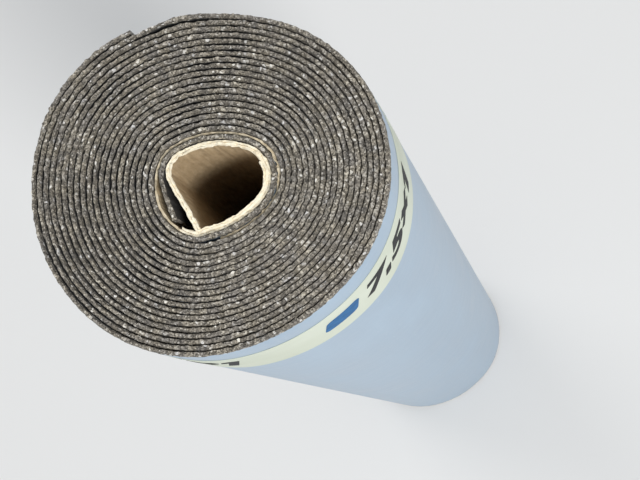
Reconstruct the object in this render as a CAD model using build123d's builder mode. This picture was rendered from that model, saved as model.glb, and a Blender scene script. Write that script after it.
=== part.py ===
from build123d import *
import math
import os

# A roll of bitumen roofing felt, standing on its end. The sheet is wound clockwise, seen from above,
# on a lapped cardboard core, and a paper label band goes round it. Millimetres, +Z up, the origin at
# the middle of the bottom end. Angles are in degrees, and a place on the winding is named by the
# angle of its outward normal, which falls as the sheet winds on.

# The felt sheet
sheet_width = 1000.0        # also the roll's height
sheet_thickness = 2.8
turn_gap = 0.265            # air between one turn and the next
wound_turns = 19.467        # turns outside the core's lap, for 7.5 m of sheet
groove_width = 0.6          # the gap between two cut edges, where it opens at an end
groove_depth = 2.0
groove_start = 3.0          # degrees from the start of the wound turns to the groove
groove_stop = 0.75          # degrees from the groove to the sheet's outer end

# The sheet's inner end, which lies slack beside the core's flat side
join_normal = -225.0        # where the first turn joins the corner's circle
leave_normal = -162.0       # where the sheet's end leaves it
tail_radius = 130.0
tail_sweep = 8.6

# The core, of two plies of board
ply_thickness = 1.1
core_plies = 2
core_recess = 2.0           # from the sheet's edge down to the core's
core_slack = 0.4            # between the core and the sheet's first turn
layer_clearance = 0.25
flat_normal = -148.0        # which way the core's flat side faces
bend_normal = -222.0        # where the bend into it starts
flat_bend = 9.6             # and its radius
lining_normal = -325.0      # where a third ply starts inside the wall
lap_normal = -432.0         # where the outer ply ends
lap_landing = -457.0        # where the core and the first turn come to the winding's own path
wall_end = -119.0           # where the wall ends and the outer ply runs on alone

# The label band
band_width = 60.0
band_thickness = 0.2
band_clearance = 0.1
band_below_rim = 30.0
band_landing = 6.0          # degrees past the sheet's outer end at which the band meets the roll

# The winding's first turn, clockwise from the lap: the normals at which its six arcs start, the radii
# of four of them, and how far each turn lies from the one inside it, past its even spacing
ARC_NORMALS = (-77.0, -120.0, -200.0, -240.0, -290.0, -400.0)
lap_radius = 22.4
left_radius = 28.7
corner_radius = 17.9
back_radius = 47.6
turn_shift_x = -0.193
turn_shift_y = 0.122

pitch = sheet_thickness + turn_gap
wind_start = ARC_NORMALS[0]
sheet_end = wind_start - 360 * wound_turns
outer_turn = sheet_end + 360
core_wall = core_plies * ply_thickness
lapped_wall = core_wall + ply_thickness

# How far the middle of each layer inside the wound turns lies from their inner face
ply_level = -layer_clearance - ply_thickness / 2
tail_level = ply_level - ply_thickness / 2 - layer_clearance - sheet_thickness / 2
core_level = tail_level - sheet_thickness / 2 - core_slack - core_wall / 2
lining_level = core_level - ply_thickness / 2


def normal(angle):
    """The unit vector at an angle in degrees."""
    return Vector(math.cos(math.radians(angle)), math.sin(math.radians(angle)))


def forward(angle):
    """The way the winding runs where its normal is at this angle."""
    return Vector(math.sin(math.radians(angle)), -math.cos(math.radians(angle)))


def cross(a, b):
    return a.X * b.Y - a.Y * b.X


def first_radii():
    """The six radii, of which the last two bring the turn to where the next one starts."""
    radii = (lap_radius, left_radius, corner_radius, back_radius)
    starts = [normal(angle) for angle in ARC_NORMALS]
    rest = Vector(turn_shift_x, turn_shift_y) + starts[0] * (lap_radius + pitch) - starts[4] * back_radius
    for index in (1, 2, 3):
        rest = rest + starts[index] * (radii[index] - radii[index - 1])
    right_step = starts[5] - starts[4]
    front_step = starts[0] - starts[5]
    scale = cross(right_step, front_step)
    return radii + (cross(rest, front_step) / scale, cross(right_step, rest) / scale)


def wind(turns):
    """Tangent arcs (centre, radius, first normal, last normal), each turn one pitch further out."""
    arcs = []
    centre = Vector(0, 0)
    edges = ARC_NORMALS + (wind_start - 360,)
    for turn in range(turns):
        for index, first_radius in enumerate(first_radii()):
            start = edges[index]
            radius = first_radius + turn * pitch
            if arcs:
                centre = centre - normal(start) * (radius - arcs[-1][1])
            arcs.append((centre, radius, start - 360 * turn, edges[index + 1] - 360 * turn))
    return arcs


WINDING = wind(math.ceil(wound_turns))


def arc_at(angle):
    """The winding's arc in which a normal falls."""
    return next(arc for arc in WINDING if arc[2] >= angle >= arc[3])


def point(angle, level=0.0):
    """The point of the sheet's inner face with this normal, moved outwards by level."""
    centre, radius, first, last = arc_at(angle)
    return centre + normal(angle) * (radius + level)


def run(first, last, level):
    """Adds the winding's arcs from one normal to another, moved outwards by level."""
    for centre, radius, start, end in WINDING:
        start, end = min(start, first), max(end, last)
        if end < start:
            CenterArc(centre, radius + level, start, end - start)


def loop(first, last, level):
    """Adds a run and the straight that closes it."""
    run(first, last, level)
    Line(point(last, level), point(first, level))


def crossover(level, landing_level):
    """Adds a straight and an arc that lead from the lap to the winding's own path."""
    start = point(lap_normal, level)
    across = point(lap_landing + 360, landing_level) - start
    along = forward(lap_normal)
    turn = normal(lap_landing) - normal(lap_normal)
    radius = cross(along, across) / cross(along, turn)
    corner = start + along * (cross(across, turn) / cross(along, turn))
    Line(start, corner)
    CenterArc(corner - normal(lap_normal) * radius, radius, lap_normal, lap_landing - lap_normal)


def reach(start, along, centre, radius):
    """The length of a straight from inside a circle to the circle."""
    offset = start - centre
    inward = offset.dot(along)
    return math.sqrt(inward ** 2 - offset.dot(offset) + radius ** 2) - inward


def bend(leave, level, radius, sweep):
    """Adds an arc that ends on the corner's circle, where its normal is leave."""
    centre, corner, first, last = arc_at(join_normal)
    bend_centre = centre + normal(leave) * (corner + level - radius)
    CenterArc(bend_centre, radius, leave + sweep, -sweep)
    CenterArc(centre, corner + level, leave, join_normal - leave)
    return bend_centre


# The winding goes where the roll's outline is centred on the Z axis
outline = [point(side - 360 * math.ceil((side - outer_turn) / 360), sheet_thickness) for side in (0, 90, 180, 270)]
middle = Vector((outline[0].X + outline[2].X) / 2, (outline[1].Y + outline[3].Y) / 2)


def roll_plane(height):
    return Plane(origin=(-middle.X, -middle.Y, height))


# The gap between the cut edges of the turns, a spiral V at the bottom end
with BuildPart() as groove:
    with BuildLine(roll_plane(0)) as gap:
        run(wind_start - groove_start, outer_turn + groove_stop, sheet_thickness + groove_width / 2)
    gap_path = gap.wires()[0]
    with BuildSketch(Plane(gap_path @ 0, x_dir=(0, 0, 1), z_dir=gap_path % 0)):
        with BuildLine():
            Polyline((0, -groove_width / 2), (groove_depth, 0), (0, groove_width / 2), close=True)
        make_face()
    sweep(path=gap_path)

# The roll of felt: one solid with its bore, the inner end of the sheet in it, and the turns showing
# on both ends
with BuildPart() as felt_roll:
    with BuildSketch(roll_plane(0)):
        with BuildLine():
            loop(outer_turn, sheet_end, sheet_thickness)
        make_face()
        with BuildLine():
            loop(wind_start, wind_start - 360, 0)
        make_face(mode=Mode.SUBTRACT)
        with BuildLine() as first_turn:
            bend(leave_normal, tail_level, tail_radius, tail_sweep)
            run(join_normal, lap_normal, tail_level)
            crossover(tail_level, sheet_thickness / 2)
        trace(first_turn.line, sheet_thickness)
    extrude(amount=sheet_width)
    add(groove.part, mode=Mode.SUBTRACT)
    mirror(groove.part, about=Plane.XY.offset(sheet_width / 2), mode=Mode.SUBTRACT)

# The core: a D-shaped tube whose flat side stands on its own wall. A third ply lines part of it, and
# the outer ply runs on outside the sheet's first turn
with BuildPart() as cardboard_core:
    with BuildSketch(roll_plane(0)):
        with BuildLine() as flat_side:
            bend_centre = bend(bend_normal, core_level, flat_bend, flat_normal - bend_normal)
            flat_top = bend_centre + normal(flat_normal) * flat_bend
            down = -forward(flat_normal)
            foot_circle = arc_at(wind_start)
            foot_radius = foot_circle[1] - layer_clearance - lapped_wall / 2
            Line(flat_top, flat_top + down * reach(flat_top, down, foot_circle[0], foot_radius))
        trace(flat_side.line, core_wall)
        with BuildLine() as wall:
            run(join_normal, lap_normal, core_level)
            crossover(core_level, -layer_clearance - core_wall / 2)
            run(lap_landing + 360, wall_end, -layer_clearance - core_wall / 2)
        trace(wall.line, core_wall)
        with BuildLine() as lining:
            run(lining_normal, lap_normal, lining_level)
            crossover(lining_level, -layer_clearance - lapped_wall / 2)
        trace(lining.line, lapped_wall)
        with BuildLine() as outer_ply:
            run(lap_landing + 360, lap_normal, ply_level)
        trace(outer_ply.line, ply_thickness)
    extrude(amount=sheet_width - core_recess)

# The label band, which bridges the step at the sheet's outer end
with BuildPart() as label_band:
    with BuildSketch(roll_plane(sheet_width - band_below_rim - band_width)):
        with BuildLine():
            loop(outer_turn - band_landing, sheet_end, sheet_thickness + band_clearance + band_thickness)
        make_face()
        with BuildLine():
            loop(outer_turn - band_landing, sheet_end, sheet_thickness + band_clearance)
        make_face(mode=Mode.SUBTRACT)
    extrude(amount=band_width)

os.makedirs("parts", exist_ok=True)
for piece, name in ((felt_roll, "felt_roll"), (cardboard_core, "cardboard_core"), (label_band, "label_band")):
    piece.part.label = name
    export_step(piece.part, "parts/" + name + ".step")
    print(name, round(piece.part.volume / 1e6, 3), "litres", piece.part.bounding_box())
length = sum(
    math.radians(start - max(end, sheet_end)) * (radius + sheet_thickness / 2)
    for centre, radius, start, end in WINDING
    if start > sheet_end
)
print("wound sheet", round(length), "mm")
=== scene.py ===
import math
import bpy
from mathutils import Matrix, Vector


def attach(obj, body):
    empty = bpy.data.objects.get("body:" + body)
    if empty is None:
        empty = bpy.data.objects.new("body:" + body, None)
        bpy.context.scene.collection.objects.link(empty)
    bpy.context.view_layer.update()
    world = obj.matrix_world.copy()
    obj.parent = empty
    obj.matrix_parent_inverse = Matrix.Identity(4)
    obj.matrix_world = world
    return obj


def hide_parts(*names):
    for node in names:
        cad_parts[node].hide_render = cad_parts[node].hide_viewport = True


# The look of a roll of bitumen roofing felt standing on its end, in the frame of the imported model.
# The sheet, the core's plies and the label are profiles spun round the arcs of the winding, one arc
# after another. Sizes are millimetres until MM or to_frame() makes them metres. A place on the
# winding is named by the angle of its outward normal, in degrees, which falls as the sheet winds on.

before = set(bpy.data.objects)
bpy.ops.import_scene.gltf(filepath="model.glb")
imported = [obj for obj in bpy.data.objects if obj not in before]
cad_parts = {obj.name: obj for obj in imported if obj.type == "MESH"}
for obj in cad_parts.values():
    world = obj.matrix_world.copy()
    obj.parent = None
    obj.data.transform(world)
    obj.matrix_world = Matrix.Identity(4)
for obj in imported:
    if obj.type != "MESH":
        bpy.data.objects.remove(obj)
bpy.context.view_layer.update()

MM = 0.001                  # a millimetre, in the frame's metres
METRE = 1000                # and a metre, in millimetres

# The winding, as in the part's source
SHEET_WIDTH = 1000.0
SHEET_THICKNESS = 2.8
PITCH = 3.065
WOUND_TURNS = 19.467
ARC_NORMALS = (-77.0, -120.0, -200.0, -240.0, -290.0, -400.0)
FIRST_RADII = (22.4, 28.7, 17.9, 47.6, 22.5, 52.0)
SHEET_END = ARC_NORMALS[0] - 360 * WOUND_TURNS
OUTER_TURN = SHEET_END + 360

# The sheet's slack inner end, its cut edges, and the outer turn's top, which stands off
JOIN = -225.0
LEAVE, TAIL_RADIUS, TAIL_SWEEP = -162.0, 130.0, 8.6
LAP, LANDING = -432.0, -457.0
SHEET_CHAMFER = (0.65, 2.0)     # across the thickness, and along the height
CROWN_DEPTH = 1.0           # below an end, how far down the crown of a cut edge reaches
FRAYED_DEPTH = 3.0          # how far down the frayed edge reaches
GRITTY_DEPTH = 3.5          # and its gritty look
EDGE_DEPTH = 25.0           # and how far down the end's own shape reaches
LOOSE_SIDE = 150.0          # where the cut edges of the turns lie furthest apart
STAND_OFF, STAND_OFF_NORMAL = 1.3, OUTER_TURN - 14.0
PULLED, PULLED_ALONG = 1.2, 24.5    # how far to each side it is pulled, and how far it comes along

# The core
PLY = 1.1
PLY_GAP = 0.04              # so that the faces of two plies never lie in one another
PLY_CHAMFER = (0.15, 0.3)
CLEARANCE = 0.25
CORE_TOP = 998.0
CORE_SLACK = 0.4
FLAT_NORMAL, BEND_NORMAL, BEND_RADIUS = -148.0, -222.0, 9.6
LINING_START, WALL_END = -325.0, -119.0
TORN_DEPTH = 0.8            # below the core's top, how far down its torn rim reaches
RAGGED_FROM, RAGGED_TO = 10.0, 30.0     # along X, where the rim grows ragged
SPLAYS = ((1, 0.5), (-1, 1.0), (-1, 0.6))   # from the outer ply inwards: the bare side, and how much
FACING = 0.3                # how far a normal has to lean to a side to face it

# The label band
BAND_BOTTOM, BAND_TOP = 910.0, 970.0
BAND_THICKNESS, BAND_CLEARANCE = 0.2, 0.1
BAND_LANDING = 6.0          # degrees past the sheet's end at which the band meets the roll
BAND_CLOSING = 0.98         # of the straight over the step, so that the band's two ends lie apart

# Its print. A bar is its width, foot, top and rounding
FIGURE_HEIGHT, FIGURE_FOOT = 23.5, 932.0
FIGURE_SHARE = 0.72         # of the font's size
FIGURES = (("7", -37.0), ("5", -20.0), ("\u00d7", -8.0))
LEAN = 0.25                 # sideways for each millimetre up
STEM, BOLD = 5.6, 1.4       # the width of the stem of the 1, and how much bolder than the font
FLAG_FOOT, FLAG_ACROSS, FLAG_DOWN = 16.5, -5.0, -4.0
COMMA = (5.0, -5.0, 5.0, 1.2)
BLUE_BAR = (22.0, 0.0, 0.9 * FIGURE_HEIGHT, 4.0)
COMMA_NORMAL, ONE_NORMAL, BAR_NORMAL = -29.5, 3.5, -51.0
ROUNDING_STEPS = 5
SLICE = 2.5                 # the width of the slices that let a flat figure bend
CLOSE_POINTS = 0.25         # points of a figure's outline that lie closer become one
PRESSED_FROM = 6.0          # outside the sheet
INK_LEVEL, INK_THICKNESS = 0.12, 0.1

# How far the middle of the slack sheet and the core's outer face lie from the first turn's inner face
TAIL_LEVEL = -2 * CLEARANCE - PLY - SHEET_THICKNESS / 2
CORE_FACE = TAIL_LEVEL - SHEET_THICKNESS / 2 - CORE_SLACK

# How fine the meshes are
STEP_LENGTH = 1.2
TIGHT_RADIUS = 12.0         # a tighter arc has as many steps as one of this radius
SAME_HEIGHT = 1e-6
DOUBLES = 2e-6
SMOOTH_ANGLE = 35.0
LYING = 0.2                 # the upward or downward share of a normal past which a face is an end


def normal(angle):
    """The unit vector at an angle in degrees."""
    return Vector((math.cos(math.radians(angle)), math.sin(math.radians(angle)), 0))


def forward(angle):
    """The way the winding runs where its normal is at this angle."""
    return Vector((math.sin(math.radians(angle)), -math.cos(math.radians(angle)), 0))


def cross(a, b):
    return a.x * b.y - a.y * b.x


def wind():
    """The tangent arcs (centre, radius, first normal, last normal) of the sheet's inner face."""
    arcs = []
    centre = Vector((0, 0, 0))
    edges = ARC_NORMALS + (ARC_NORMALS[0] - 360,)
    for turn in range(math.ceil(WOUND_TURNS)):
        for index, first_radius in enumerate(FIRST_RADII):
            start = edges[index] - 360 * turn
            radius = first_radius + turn * PITCH
            if arcs:
                centre = centre - normal(start) * (radius - arcs[-1][1])
            arcs.append((centre, radius, start, edges[index + 1] - 360 * turn))
    return arcs


WINDING = wind()


def arc_at(angle):
    """The winding's arc in which a normal falls."""
    return next(arc for arc in WINDING if arc[2] >= angle >= arc[3])


def point(angle, level=0.0):
    """The point of the sheet's inner face with this normal, moved outwards by level."""
    centre, radius = arc_at(angle)[:2]
    return centre + normal(angle) * (radius + level)


def corner():
    """The centre and radius of the arc that the sheet's inner end and the core's wall both join."""
    return arc_at(JOIN)[:2]


def outline_middle():
    """The middle of the roll's outline, which is the frame's origin."""
    sides = [
        point(side - 360 * math.ceil((side - OUTER_TURN) / 360), SHEET_THICKNESS)
        for side in (0, 90, 180, 270)
    ]
    return Vector(((sides[0].x + sides[2].x) / 2, (sides[1].y + sides[3].y) / 2, 0))


MIDDLE = outline_middle()


def to_frame(place):
    """A place on the winding, in the frame's metres."""
    return (place - MIDDLE) * MM


def level_at(place):
    """How far a place of the frame lies outside the first turn's inner face, or else the core's face."""
    place = Vector((place.x, place.y, 0)) * METRE + MIDDLE
    for centre, radius, first, last in WINDING[1:len(ARC_NORMALS)]:
        offset = place - centre
        if (first - math.degrees(math.atan2(offset.y, offset.x))) % 360 <= first - last:
            return offset.length - radius
    return CORE_FACE


# A route is a list of (centre, sweep in degrees, radius) for arcs and (None, step, 0) for straights

def winding_route(first, last):
    """The winding's arcs from one normal to another."""
    route = []
    for centre, radius, start, end in WINDING:
        start, end = min(start, first), max(end, last)
        if end < start:
            route.append((centre, end - start, radius))
    return route


def crossover_route(level, landing_level):
    """A straight and an arc that lead from the lap to the winding's own path."""
    start = point(LAP, level)
    across = point(LANDING + 360, landing_level) - start
    along = forward(LAP)
    turn = normal(LANDING) - normal(LAP)
    radius = cross(along, across) / cross(along, turn)
    step = along * (cross(across, turn) / cross(along, turn))
    return [(None, step, 0), (start + step - normal(LAP) * radius, LANDING - LAP, radius)]


def reach(start, along, centre, radius):
    """The length of a straight from inside a circle to the circle."""
    offset = start - centre
    inward = offset.dot(along)
    return math.sqrt(inward ** 2 - offset.dot(offset) + radius ** 2) - inward


def deselect():
    bpy.ops.object.select_all(action="DESELECT")


def pick(mesh_test, kind="VERT"):
    """In edit mode, selects what passes the test, and nothing else."""
    bpy.ops.mesh.select_mode(type=kind)
    bpy.ops.mesh.select_all(action="DESELECT")
    bpy.ops.object.mode_set(mode="OBJECT")
    mesh = bpy.context.object.data
    for item in {"VERT": mesh.vertices, "EDGE": mesh.edges, "FACE": mesh.polygons}[kind]:
        item.select = mesh_test(mesh, item)
    bpy.ops.object.mode_set(mode="EDIT")


def is_level(mesh, edge):
    first, last = (mesh.vertices[index].co.z for index in edge.vertices)
    return abs(first - last) < SAME_HEIGHT


def cut_corners(middle, height, chamfer):
    """Chamfers the four corners of an upright outline."""
    width, depth = chamfer
    between_cuts = (height - width) / 2 * MM
    bpy.ops.mesh.select_mode(type="VERT")
    bpy.ops.mesh.select_all(action="SELECT")
    bpy.ops.mesh.bevel(offset=width * MM, segments=1, affect="VERTICES")
    for side in (1, -1):
        pick(lambda mesh, vertex: 0 < (vertex.co.z - middle) * side < between_cuts)
        bpy.ops.transform.translate(value=(0, 0, side * (width - depth) * MM))


def profile(name, place, angle, shape):
    """The outline of an upright strip, square to its route, with cut corners and divided ends."""
    thickness, bottom, top, chamfer = shape
    middle = (top + bottom) / 2 * MM
    deselect()
    bpy.ops.mesh.primitive_plane_add(size=MM, rotation=(math.pi / 2, 0, math.radians(angle)))
    piece = bpy.context.object
    piece.name = piece.data.name = name
    bpy.ops.object.transform_apply(location=True, rotation=True, scale=True)
    bpy.ops.object.mode_set(mode="EDIT")
    bpy.ops.mesh.select_all(action="SELECT")
    bpy.ops.transform.resize(value=(thickness, thickness, top - bottom))
    bpy.ops.transform.translate(value=tuple(to_frame(place) + Vector((0, 0, middle))))
    if chamfer:
        cut_corners(middle, top - bottom, chamfer)
    bpy.ops.mesh.select_mode(type="FACE")
    bpy.ops.mesh.select_all(action="SELECT")
    bpy.ops.mesh.delete(type="ONLY_FACE")
    pick(is_level, "EDGE")
    bpy.ops.mesh.subdivide(number_cuts=1)
    bpy.ops.mesh.select_all(action="SELECT")
    if chamfer:
        for height in (bottom + EDGE_DEPTH, top - EDGE_DEPTH):
            bpy.ops.mesh.bisect(plane_co=(0, 0, height * MM), plane_no=(0, 0, 1))
            bpy.ops.mesh.select_all(action="SELECT")
    return piece


def carry(route, place, angle):
    """Spins or slides the selected profile along a route, and returns where it ends."""
    for centre, amount, radius in route:
        if centre is None:
            count = max(1, round(amount.length / STEP_LENGTH))
            for _ in range(count):
                bpy.ops.mesh.extrude_region_move(
                    TRANSFORM_OT_translate={"value": tuple(amount / count * MM)}
                )
            place = place + amount
        else:
            sweep = math.radians(amount)
            count = max(2, round(abs(sweep) * max(radius, TIGHT_RADIUS) / STEP_LENGTH))
            bpy.ops.mesh.spin(
                steps=count, angle=-sweep, center=tuple(to_frame(centre)), axis=(0, 0, 1),
                use_auto_merge=False,
            )
            place = centre + Matrix.Rotation(sweep, 3, "Z") @ (place - centre)
            angle += amount
    return place, angle


def spun(name, place, angle, route, shape):
    """A closed strip along a route, spun a turn at a time."""
    turns = []
    for first in range(0, len(route), len(ARC_NORMALS)):
        turns.append(profile(name, place, angle, shape))
        place, angle = carry(route[first:first + len(ARC_NORMALS)], place, angle)
        bpy.ops.object.mode_set(mode="OBJECT")
    return joined(name, turns)


def joined(name, pieces):
    """Pieces joined into one, with doubles merged, open ends filled and normals outward."""
    deselect()
    for piece in pieces:
        piece.select_set(True)
    bpy.context.view_layer.objects.active = pieces[0]
    if len(pieces) > 1:
        bpy.ops.object.join()
    piece = bpy.context.object
    piece.name = piece.data.name = name
    bpy.ops.object.mode_set(mode="EDIT")
    bpy.ops.mesh.select_mode(type="VERT")
    bpy.ops.mesh.select_all(action="SELECT")
    bpy.ops.mesh.remove_doubles(threshold=DOUBLES)
    bpy.ops.mesh.fill_holes(sides=0)
    bpy.ops.mesh.select_all(action="SELECT")
    bpy.ops.mesh.normals_make_consistent(inside=False)
    bpy.ops.object.mode_set(mode="OBJECT")
    return piece


def finish_piece(piece, *modifiers):
    """Applies a piece's modifiers, in the order given."""
    deselect()
    piece.select_set(True)
    bpy.context.view_layer.objects.active = piece
    for modifier in modifiers:
        bpy.ops.object.modifier_apply(modifier=modifier)


def group(piece, name, weight):
    """A vertex group in which each vertex weighs what its place gives."""
    members = piece.vertex_groups.new(name=name)
    for vertex in piece.data.vertices:
        share = weight(vertex.co)
        if share > 0:
            members.add([vertex.index], share, "REPLACE")


def ruffle(piece, group_name, size, amount, direction, middle=0.5):
    """Displaces a group by soft noise, in millimetres. Where the noise is at middle, nothing moves."""
    texture = bpy.data.textures.new(piece.name + "_noise", "CLOUDS")
    texture.noise_scale = size * MM
    texture.noise_depth = 1
    modifier = piece.modifiers.new("ruffle", "DISPLACE")
    modifier.texture = texture
    modifier.texture_coords = "LOCAL"
    modifier.direction = direction
    modifier.strength = amount * MM
    modifier.mid_level = middle
    modifier.vertex_group = group_name
    finish_piece(piece, modifier.name)


# The sheet

def near_end(place, depth):
    """Whether a place lies less than a depth from the roll's top or foot."""
    half = SHEET_WIDTH / 2 * MM
    return half - abs(place.z - half) < depth * MM


def looseness(place):
    """From 0 to 1, how close a place is to the side where the turns lie apart."""
    return 0.5 + 0.5 * place.dot(normal(LOOSE_SIDE)) / place.xy.length


def stand_off(piece, angle, distance):
    """Pulls the top of one turn away from the turn inside it."""
    place = to_frame(point(angle, SHEET_THICKNESS / 2))
    out = normal(angle)
    along = forward(angle)

    def here(mesh, vertex):
        offset = vertex.co - place
        if vertex.co.z < (SHEET_WIDTH - FRAYED_DEPTH) * MM:
            return False
        return abs(offset.dot(along)) < PULLED * MM and abs(offset.dot(out)) < PITCH / 2 * MM

    bpy.ops.object.mode_set(mode="EDIT")
    pick(here)
    bpy.ops.transform.translate(
        value=tuple(out * distance * MM), use_proportional_edit=True,
        proportional_size=PULLED_ALONG * MM, proportional_edit_falloff="SMOOTH",
        use_proportional_connected=True,
    )
    bpy.ops.object.mode_set(mode="OBJECT")


def make_sheet():
    """The whole sheet, from its slack inner end outwards, with frayed and uneven cut edges."""
    centre, radius = corner()
    bend = centre + normal(LEAVE) * (radius + TAIL_LEVEL - TAIL_RADIUS)
    start = LEAVE + TAIL_SWEEP
    route = [(bend, -TAIL_SWEEP, TAIL_RADIUS), (centre, JOIN - LEAVE, radius)]
    route += winding_route(JOIN, LAP)
    route += crossover_route(TAIL_LEVEL, SHEET_THICKNESS / 2)
    route += winding_route(LANDING + 360, SHEET_END)
    shape = (SHEET_THICKNESS, 0.0, SHEET_WIDTH, SHEET_CHAMFER)
    piece = spun("wound_sheet", bend + normal(start) * TAIL_RADIUS, start, route, shape)
    stand_off(piece, STAND_OFF_NORMAL, STAND_OFF)

    group(piece, "cut_edges", lambda co: near_end(co, FRAYED_DEPTH))
    group(piece, "crowns", lambda co: near_end(co, CROWN_DEPTH))
    group(piece, "loose_edges", lambda co: near_end(co, FRAYED_DEPTH) * looseness(co))
    group(piece, "tight_crowns", lambda co: near_end(co, CROWN_DEPTH) * (1 - looseness(co)))
    ruffle(piece, "loose_edges", size=24.0, amount=0.75, direction="NORMAL", middle=0.85)
    ruffle(piece, "tight_crowns", size=18.0, amount=0.8, direction="NORMAL", middle=0.1)
    ruffle(piece, "cut_edges", size=15.0, amount=1.2, direction="Z")
    ruffle(piece, "cut_edges", size=2.0, amount=1.8, direction="Z")
    for direction, size in (("X", 2.1), ("Y", 1.9)):
        ruffle(piece, "cut_edges", size=size, amount=0.7, direction=direction)
        ruffle(piece, "crowns", size=size + 0.35, amount=1.5, direction=direction)
    return piece


# The core's plies

def on_rim(place):
    """Whether a place lies on the core's torn rim."""
    return place.z > (CORE_TOP - TORN_DEPTH) * MM


def on_outer_ply(place):
    """Whether a place lies outside the sheet's first turn."""
    return level_at(place) > TAIL_LEVEL


def raggedness(place):
    """From 0 to 1 along X, how ragged the core's rim is."""
    return min(1.0, max(0.0, (place.x * METRE - RAGGED_FROM) / (RAGGED_TO - RAGGED_FROM)))


def splay(ply, side, amount):
    """Thickens a ply's torn edge on the side that shows: 1 is outside and -1 inside."""
    bare = ply.vertex_groups.new(name="bare_side")
    for vertex in ply.data.vertices:
        radial = vertex.co.xy.normalized().to_3d()
        if on_rim(vertex.co) and side * vertex.normal.dot(radial) > FACING:
            bare.add([vertex.index], 1, "REPLACE")
    ruffle(ply, "bare_side", size=3.0, amount=amount, direction="NORMAL", middle=0.0)
    return ply


def make_core():
    """Two plies, of which the outer one runs on outside the first turn, and a third as a lining."""
    centre, radius = corner()
    bend = centre + normal(BEND_NORMAL) * (radius + CORE_FACE - PLY - BEND_RADIUS)
    down = -forward(FLAT_NORMAL)
    foot_centre, foot_radius = WINDING[0][:2]
    shape = (PLY - PLY_GAP, 0.0, CORE_TOP, PLY_CHAMFER)
    plies = []
    for index, end in enumerate((LAP, WALL_END)):
        depth = PLY * (index + 0.5)
        flat_top = bend + normal(FLAT_NORMAL) * (BEND_RADIUS + PLY * (0.5 - index))
        length = reach(flat_top, down, foot_centre, foot_radius - CLEARANCE - 2 * PLY)
        route = [(None, -down * length, 0), (bend, BEND_NORMAL - FLAT_NORMAL, BEND_RADIUS)]
        route += [(centre, JOIN - BEND_NORMAL, radius)] + winding_route(JOIN, LAP)
        route += crossover_route(CORE_FACE - depth, -CLEARANCE - depth)
        route += winding_route(LANDING + 360, end)
        plies.append(spun("core_ply", flat_top + down * length, FLAT_NORMAL, route, shape))
    depth = PLY * 2.5
    route = winding_route(LINING_START, LAP) + crossover_route(CORE_FACE - depth, -CLEARANCE - depth)
    plies.append(spun("core_lining", point(LINING_START, CORE_FACE - depth), LINING_START, route, shape))
    core = joined("lapped_core", [splay(ply, *way) for ply, way in zip(plies, SPLAYS)])

    group(core, "torn_edges", on_rim)
    group(core, "outer_ply", lambda co: on_rim(co) and on_outer_ply(co))
    group(core, "ragged_side", lambda co: on_rim(co) * raggedness(co))
    ruffle(core, "torn_edges", size=1.8, amount=2.2, direction="Z")
    ruffle(core, "outer_ply", size=22.0, amount=1.8, direction="Z", middle=0.6)
    ruffle(core, "torn_edges", size=2.4, amount=0.7, direction="X")
    ruffle(core, "torn_edges", size=2.2, amount=0.7, direction="Y")
    ruffle(core, "ragged_side", size=1.9, amount=1.8, direction="X")
    return core


# The label band, and the figures and bars printed on it

def make_band():
    """The paper band, which bridges the step at the sheet's outer end."""
    level = SHEET_THICKNESS + BAND_CLEARANCE + BAND_THICKNESS / 2
    first = OUTER_TURN - BAND_LANDING
    start = point(first, level)
    end = point(SHEET_END, level)
    route = winding_route(first, SHEET_END) + [(None, (start - end) * BAND_CLOSING, 0)]
    return spun("label_wrap", start, first, route, (BAND_THICKNESS, BAND_BOTTOM, BAND_TOP, None))


def slice_up(width):
    """In object mode, cuts the active flat piece into narrow upright slices, so that it can bend."""
    bpy.ops.object.mode_set(mode="EDIT")
    bpy.ops.mesh.select_all(action="SELECT")
    bpy.ops.mesh.remove_doubles(threshold=CLOSE_POINTS * MM)
    bpy.ops.mesh.delete_loose()
    cuts = round(width / 2 / SLICE)
    for cut in range(-cuts, cuts + 1):
        bpy.ops.mesh.select_all(action="SELECT")
        bpy.ops.mesh.bisect(plane_co=(cut * SLICE * MM, 0, 0), plane_no=(1, 0, 0))
    bpy.ops.object.mode_set(mode="OBJECT")


def figure(character):
    """A flat figure in bold, leaning type."""
    deselect()
    bpy.ops.object.text_add()
    text = bpy.context.object
    text.data.body = character
    text.data.align_x = "CENTER"
    text.data.size = FIGURE_HEIGHT / FIGURE_SHARE * MM
    text.data.shear = LEAN
    text.data.offset = BOLD * MM
    bpy.ops.object.convert(target="MESH")
    slice_up(FIGURE_HEIGHT)
    return bpy.context.object


def leaning_plane(width, foot, top):
    """A flat bar that leans as the figures do, left in edit mode."""
    middle = (foot + top) / 2 * MM
    deselect()
    bpy.ops.mesh.primitive_plane_add(size=MM, location=(0, middle, 0))
    bpy.ops.object.transform_apply(location=True, rotation=True, scale=True)
    bpy.ops.object.mode_set(mode="EDIT")
    bpy.ops.mesh.select_all(action="SELECT")
    bpy.ops.transform.resize(value=(width, top - foot, 1))
    pick(lambda mesh, vertex: vertex.co.y > middle)
    bpy.ops.transform.translate(value=(LEAN * (top - foot) * MM, 0, 0))
    bpy.ops.mesh.select_all(action="SELECT")


def slanted_bar(width, foot, top, rounding):
    """A flat, leaning bar with round corners."""
    leaning_plane(width, foot, top)
    bpy.ops.mesh.bevel(offset=rounding * MM, segments=ROUNDING_STEPS, affect="VERTICES")
    bpy.ops.object.mode_set(mode="OBJECT")
    slice_up(width + 2 * LEAN * (top - foot))
    return bpy.context.object


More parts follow.
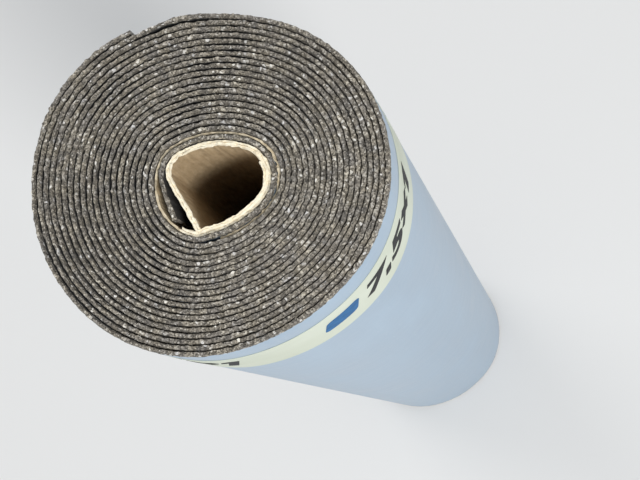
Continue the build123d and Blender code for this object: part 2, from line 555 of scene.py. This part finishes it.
def figure_one():
    """The figure 1: a stem, with a flag drawn out of the upper end of its left side."""
    leaning_plane(STEM, -BOLD, FIGURE_HEIGHT)
    bpy.ops.mesh.bisect(plane_co=(0, FLAG_FOOT * MM, 0), plane_no=(0, 1, 0))
    pick(lambda mesh, vertex: vertex.co.y > FLAG_FOOT / 2 * MM and vertex.co.x < LEAN * vertex.co.y)
    flag = (FLAG_ACROSS * MM, FLAG_DOWN * MM, 0)
    bpy.ops.mesh.extrude_region_move(TRANSFORM_OT_translate={"value": flag})
    bpy.ops.object.mode_set(mode="OBJECT")
    slice_up(FIGURE_HEIGHT)
    return bpy.context.object


def press_on(original, angle, band):
    """A copy of a flat piece, laid on the band where its normal has this angle."""
    copy = original.copy()
    copy.data = original.data.copy()
    bpy.context.scene.collection.objects.link(copy)
    out = normal(angle)
    up = Vector((0, 0, 1))
    place = to_frame(point(SHEET_END + (angle - SHEET_END) % 360, SHEET_THICKNESS + PRESSED_FROM))
    turned = Matrix((up.cross(out), up, out)).transposed().to_4x4()
    copy.matrix_world = Matrix.Translation(place + up * FIGURE_FOOT * MM) @ turned
    wrap = copy.modifiers.new("wrap", "SHRINKWRAP")
    wrap.target = band
    wrap.wrap_method = "PROJECT"
    wrap.use_project_z = True
    wrap.use_positive_direction = False
    wrap.use_negative_direction = True
    wrap.wrap_mode = "ABOVE_SURFACE"
    wrap.offset = INK_LEVEL * MM
    ink = copy.modifiers.new("ink", "SOLIDIFY")
    ink.thickness = INK_THICKNESS * MM
    ink.offset = 0
    finish_piece(copy, "wrap", "ink")
    bpy.ops.object.transform_apply(location=True, rotation=True, scale=True)
    return copy


def make_print(band):
    """Four prints round the band, each a blue bar and the sheet's size in metres."""
    signs = [(figure(character), angle) for character, angle in FIGURES]
    signs += [(slanted_bar(*COMMA), COMMA_NORMAL), (figure_one(), ONE_NORMAL)]
    blue = slanted_bar(*BLUE_BAR)
    quarters = (0, 90, 180, 270)
    figures = [press_on(sign, angle + quarter, band) for sign, angle in signs for quarter in quarters]
    bars = [press_on(blue, BAR_NORMAL + quarter, band) for quarter in quarters]
    for original in [sign for sign, angle in signs] + [blue]:
        bpy.data.objects.remove(original)
    return joined("band_figures", figures), joined("band_bars", bars)


sheet = make_sheet()
core = make_core()
band = make_band()
figures, bars = make_print(band)


# Materials

def rgba(colour):
    """A colour, or a grey given as one number, with its alpha."""
    if isinstance(colour, (int, float)):
        colour = (colour,) * 3
    return tuple(colour) + (1,)


class Nodes:
    """A material's node tree, with short calls to add and join nodes."""

    def __init__(self, name):
        self.material = bpy.data.materials.new(name)
        self.material.use_nodes = True
        self.tree = self.material.node_tree
        self.shader = self.tree.nodes["Principled BSDF"]
        self.place = self.add("ShaderNodeTexCoord").outputs["Object"]

    def add(self, kind, inputs=(), **settings):
        """A node, with sockets or plain values on its inputs."""
        node = self.tree.nodes.new(kind)
        for key, value in settings.items():
            setattr(node, key, value)
        for key, value in dict(inputs).items():
            if hasattr(value, "is_output"):
                self.tree.links.new(value, node.inputs[key])
            else:
                node.inputs[key].default_value = value
        return node

    def ramp(self, value, *stops):
        """A value turned into colours, or greys, by stops of position and colour."""
        node = self.add("ShaderNodeValToRGB", {"Fac": value})
        elements = node.color_ramp.elements
        while len(elements) < len(stops):
            elements.new(0.5)
        for element, (position, colour) in zip(elements, stops):
            element.position = position
            element.color = rgba(colour)
        return node.outputs["Color"]

    def mix(self, factor, a, b, blend="MIX"):
        """Two colours mixed. The Mix node's colour sockets are 6 and 7, and its result is 2."""
        node = self.add("ShaderNodeMix", data_type="RGBA", blend_type=blend)
        for socket, value in ((0, factor), (6, a), (7, b)):
            if hasattr(value, "is_output"):
                self.tree.links.new(value, node.inputs[socket])
            elif socket == 0:
                node.inputs[0].default_value = value
            else:
                node.inputs[socket].default_value = rgba(value)
        return node.outputs[2]

    def noise(self, scale, detail=2.0, vector=None, roughness=0.5):
        inputs = {"Vector": vector or self.place, "Scale": scale, "Detail": detail, "Roughness": roughness}
        return self.add("ShaderNodeTexNoise", inputs).outputs["Fac"]

    def grains(self, scale):
        """Voronoi cells, each with its own random colour."""
        return self.add("ShaderNodeTexVoronoi", {"Vector": self.place, "Scale": scale})

    def channels(self, colour):
        return self.add("ShaderNodeSeparateColor", {"Color": colour}).outputs

    def stretched(self, scale):
        return self.add("ShaderNodeMapping", {"Vector": self.place, "Scale": scale}).outputs["Vector"]

    def bump(self, height, distance, strength=1.0, below=None):
        """A bump of a height in millimetres, over another one where below gives it."""
        inputs = {"Height": height, "Distance": distance * MM, "Strength": strength}
        if below:
            inputs["Normal"] = below
        return self.add("ShaderNodeBump", inputs).outputs["Normal"]

    def set(self, **values):
        """Sockets or plain values for the shader, by plain names."""
        names = {
            "colour": "Base Color", "roughness": "Roughness", "normal": "Normal",
            "specular": "Specular IOR Level",
        }
        for key, value in values.items():
            socket = self.shader.inputs[names[key]]
            if hasattr(value, "is_output"):
                self.tree.links.new(value, socket)
            else:
                socket.default_value = rgba(value) if isinstance(value, tuple) else value


def gritty_edge():
    """The cut edge: bitumen and broken mineral grit, with a few pale flecks in it."""
    n = Nodes("gritty_cut_edge")
    grains = n.grains(1250.0)
    flecks = n.grains(760.0)
    fine = n.noise(1500.0, 4.0)
    patches = n.noise(150.0, 2.0)
    fleck = n.ramp(n.channels(flecks.outputs["Color"])[1], (0.94, 0.0), (0.99, 0.8))
    grit = n.ramp(
        n.channels(grains.outputs["Color"])[0],
        (0.0, (0.018, 0.015, 0.012)), (0.3, (0.065, 0.057, 0.046)), (0.55, (0.21, 0.188, 0.155)),
        (0.84, (0.42, 0.383, 0.325)), (0.95, (0.72, 0.68, 0.6)),
    )
    bitumen = n.ramp(fine, (0.36, (0.06, 0.053, 0.045)), (0.62, (0.46, 0.42, 0.355)))
    tint = n.ramp(patches, (0.35, (0.8, 0.8, 0.82)), (0.65, (1.0, 0.97, 0.9)))
    mixture = n.mix(fleck, n.mix(0.35, grit, bitumen), (1.0, 0.98, 0.93))
    n.set(
        colour=n.mix(1.0, mixture, tint, "MULTIPLY"), roughness=0.8,
        normal=n.bump(grains.outputs["Distance"], 0.5, 0.9, n.bump(fine, 0.4)),
    )
    return n.material


def satin_film():
    """The blue film of the outer side, with upright streaks, faint scuffs and soft wrinkles."""
    n = Nodes("satin_film")
    streaks = n.noise(34.0, 4.0, n.stretched((1.0, 1.0, 0.3)))
    scuffs = n.noise(420.0, 4.0, n.stretched((1.0, 1.0, 0.25)), 0.7)
    film = n.ramp(streaks, (0.3, (0.3, 0.405, 0.515)), (0.7, (0.37, 0.48, 0.59)))
    wrinkles = n.noise(30.0, 3.0, n.stretched((1.0, 1.0, 1.8)))
    grit_below = n.noise(380.0, 3.0)
    n.set(
        colour=n.mix(n.ramp(scuffs, (0.6, 0.0), (0.75, 0.35)), film, (0.5, 0.58, 0.66)),
        roughness=n.ramp(streaks, (0.3, 0.3), (0.7, 0.42)), specular=0.6,
        normal=n.bump(wrinkles, 0.8, 0.7, n.bump(grit_below, 0.07)),
    )
    return n.material


def bitumen_back():
    """The sheet's inner side: black bitumen with fine sand on it."""
    n = Nodes("bitumen_back")
    sand = n.noise(1800.0, 3.0)
    n.set(
        colour=n.ramp(sand, (0.3, (0.02, 0.019, 0.018)), (0.7, (0.075, 0.07, 0.065))),
        roughness=0.8, normal=n.bump(sand, 0.2),
    )
    return n.material


def board(name, dark, light, rough, creased=0.0):
    """Board with upright fibres and, where it is creased, upright creases."""
    n = Nodes(name)
    fibres = n.noise(420.0, 5.0, n.stretched((1.0, 1.0, 0.3)), 0.65)
    creases = n.noise(240.0, 2.0, n.stretched((1.0, 1.0, 0.05)))
    blotches = n.noise(40.0, 2.0)
    fibre_colour = n.ramp(fibres, (0.3, dark), (0.7, light))
    n.set(
        colour=n.mix(n.ramp(blotches, (0.35, 0.0), (0.7, 0.35)), fibre_colour, dark), roughness=0.85,
        normal=n.bump(fibres, rough, 1.0, n.bump(creases, creased)),
    )
    return n.material


def band_paper():
    n = Nodes("band_paper")
    fibres = n.noise(700.0, 3.0)
    n.set(
        colour=n.ramp(n.noise(25.0), (0.3, (0.6, 0.64, 0.51)), (0.7, (0.68, 0.72, 0.6))),
        roughness=0.5, normal=n.bump(fibres, 0.03),
    )
    return n.material


def ink(name, colour):
    """Ink of one colour, worn a little paler in places."""
    n = Nodes(name)
    worn = n.noise(260.0, 4.0)
    paler = tuple(channel * 1.5 + 0.004 for channel in colour)
    n.set(
        colour=n.ramp(worn, (0.3, colour), (0.75, paler)),
        roughness=0.6, specular=0.25, normal=n.bump(worn, 0.02),
    )
    return n.material


def paint(piece, *materials_and_tests):
    """Gives each face the first material whose test it passes."""
    piece.data.materials.clear()
    for material, test in materials_and_tests:
        piece.data.materials.append(material)
    for face in piece.data.polygons:
        face.material_index = next(i for i, (m, test) in enumerate(materials_and_tests) if test(face))


def lying(face):
    return abs(face.normal.z) > LYING


def cut(face):
    """Whether a face of the sheet is cut: at the roll's ends, or at the ends of the strip."""
    return lying(face) or near_end(face.center, GRITTY_DEPTH) or len(face.vertices) > 4


def outward(face):
    return face.normal.dot(Vector((face.center.x, face.center.y, 0))) > 0


def anywhere(face):
    return True


paint(sheet, (gritty_edge(), cut), (satin_film(), outward), (bitumen_back(), anywhere))
paint(
    core,
    (
        # The outer ply's torn rim, outside the first turn, is painted darker than the rest of the torn
        # rim: painted shade for its recess between the felt's turns
        board("torn_board_painted_shade", dark=(0.52, 0.42, 0.27), light=(0.86, 0.76, 0.57), rough=0.4),
        lambda face: lying(face) and on_outer_ply(face.center),
    ),
    (board("torn_board", dark=(0.84, 0.72, 0.5), light=(1.0, 0.95, 0.8), rough=0.4), lying),
    (
        board("plain_board", dark=(0.36, 0.26, 0.145), light=(0.55, 0.42, 0.26), rough=0.12, creased=1.6),
        anywhere,
    ),
)
paint(band, (band_paper(), anywhere))
paint(figures, (ink("black_ink", (0.006, 0.006, 0.008)), anywhere))
paint(bars, (ink("blue_ink", (0.008, 0.1, 0.26)), anywhere))

for piece in (sheet, core, band, figures, bars):
    deselect()
    piece.select_set(True)
    bpy.context.view_layer.objects.active = piece
    bpy.ops.object.shade_smooth_by_angle(angle=math.radians(SMOOTH_ANGLE))
    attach(piece, "root")
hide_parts("felt_roll")
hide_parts("cardboard_core")
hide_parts("label_band")


# Stage, lamps and camera, in metres

FLOOR_SIZE = 12.0
FLOOR_COLOUR = (0.78, 0.77, 0.75)
SKY_COLOUR = (0.86, 0.9, 0.95)
SKY_STRENGTH = 0.55

deselect()
bpy.ops.mesh.primitive_plane_add(size=FLOOR_SIZE)
floor = bpy.context.object
floor.name = "floor"
floor_nodes = Nodes("pale_floor")
floor_nodes.set(colour=FLOOR_COLOUR, roughness=0.9)
floor.data.materials.append(floor_nodes.material)


def lamp(name, place, aim, size, watts):
    """A round area lamp."""
    data = bpy.data.lights.new(name, "AREA")
    data.shape = "DISK"
    data.size = size
    data.energy = watts
    thing = bpy.data.objects.new(name, data)
    bpy.context.scene.collection.objects.link(thing)
    thing.location = place
    thing.rotation_euler = (Vector(aim) - Vector(place)).to_track_quat("-Z", "Y").to_euler()


lamp("key", place=(1.5, -1.5, 3.2), aim=(0, 0, 0.7), size=1.0, watts=75)
lamp("fill", place=(-2.2, 1.6, 2.4), aim=(0, 0, 0.6), size=2.4, watts=30)

world = bpy.data.worlds.new("studio")
bpy.context.scene.world = world
world.use_nodes = True
background = world.node_tree.nodes["Background"]
background.inputs["Color"].default_value = rgba(SKY_COLOUR)
background.inputs["Strength"].default_value = SKY_STRENGTH

# The photograph's camera looks down at a slant, so that the point straight below it shows a little to
# the right of the picture's middle and below it. This one stands at the same place, turned to the roll
FOCAL_PIXELS = 715.0        # these four are pixels of the photograph
PHOTO_WIDTH = 640
PLUMB_ACROSS, PLUMB_DOWN = 12.0, 78.0
CAMERA_PLACE = Vector((0.176, -0.121, 1.618))
AIM = Vector((0.018, 0.002, 0.79))
ZOOM = 1.85
SENSOR_WIDTH = 36.0
CLIP_START = 0.01


def photo_axes():
    """The photograph's camera axes in the frame, from where its vertical lines meet."""
    plumb = Vector((PLUMB_ACROSS / FOCAL_PIXELS, PLUMB_DOWN / FOCAL_PIXELS, 1)).normalized()
    right = Vector((0, 1, 0)).cross(plumb).normalized()
    down = plumb.cross(right)

    def in_frame(axis):
        return Vector((right[axis], -down[axis], -plumb[axis]))

    return Matrix((in_frame(0), -in_frame(1), -in_frame(2))).transposed()


camera = bpy.data.objects.new("camera", bpy.data.cameras.new("camera"))
bpy.context.scene.collection.objects.link(camera)
axes = photo_axes()
turn = (-axes.col[2]).rotation_difference(AIM - CAMERA_PLACE)
camera.matrix_world = Matrix.Translation(CAMERA_PLACE) @ (turn.to_matrix() @ axes).to_4x4()
camera.data.sensor_width = SENSOR_WIDTH
camera.data.lens = ZOOM * FOCAL_PIXELS / PHOTO_WIDTH * SENSOR_WIDTH
camera.data.clip_start = CLIP_START
bpy.context.scene.camera = camera

bpy.context.scene.view_settings.view_transform = "Standard"
